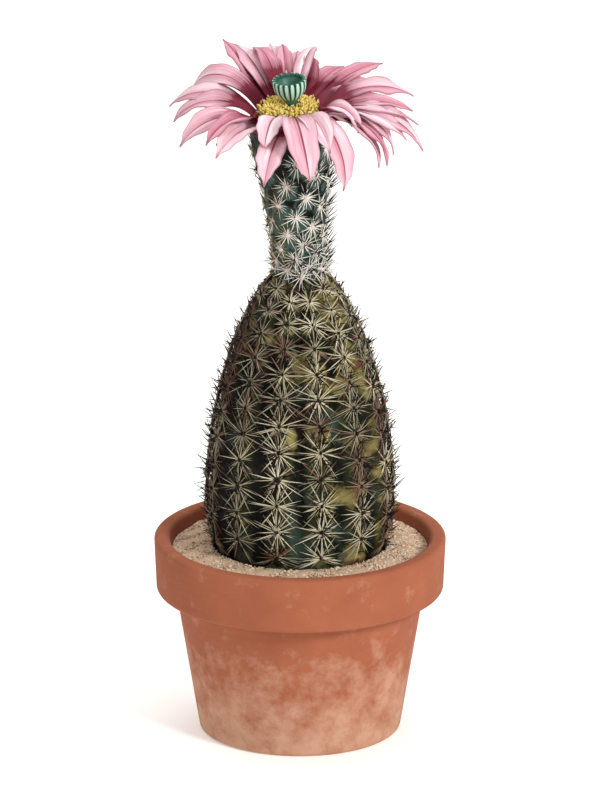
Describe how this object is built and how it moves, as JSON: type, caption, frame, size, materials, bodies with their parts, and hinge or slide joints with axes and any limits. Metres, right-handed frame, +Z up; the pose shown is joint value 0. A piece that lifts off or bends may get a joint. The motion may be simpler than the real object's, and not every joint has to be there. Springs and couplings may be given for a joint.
{
  "type": "potted lady finger cactus",
  "caption": "Ribbed, spiny, bottle-shaped cactus in a plain round pot, with a large open flower on a spiny tube at its crown.",
  "frame": {"origin": "middle of the pot's foot, on the surface that the pot stands on", "axes": "+Z up the stem; -Y towards the side that the picture shows, where the front petals hang down"},
  "size_m": [0.096, 0.096, 0.2269],
  "materials": {
    "clay": "unglazed, matt",
    "potting_mix": "dark, damp, crumbly",
    "sand": "dry, gritty",
    "stem_skin": "dark green and brown, waxy, under pale spines",
    "tube_skin": "bluish green, with white spines",
    "petal": "soft, satin",
    "pollen": "powdery",
    "stigma_flesh": "moist, satin"
  },
  "bodies": {
    "root": {"pot": "clay", "soil": "potting_mix", "grit": "sand", "stem": "stem_skin", "flower_tube": "tube_skin", "petals": "petal", "stamens": "pollen", "stigma": "stigma_flesh"}
  },
  "joints": []
}
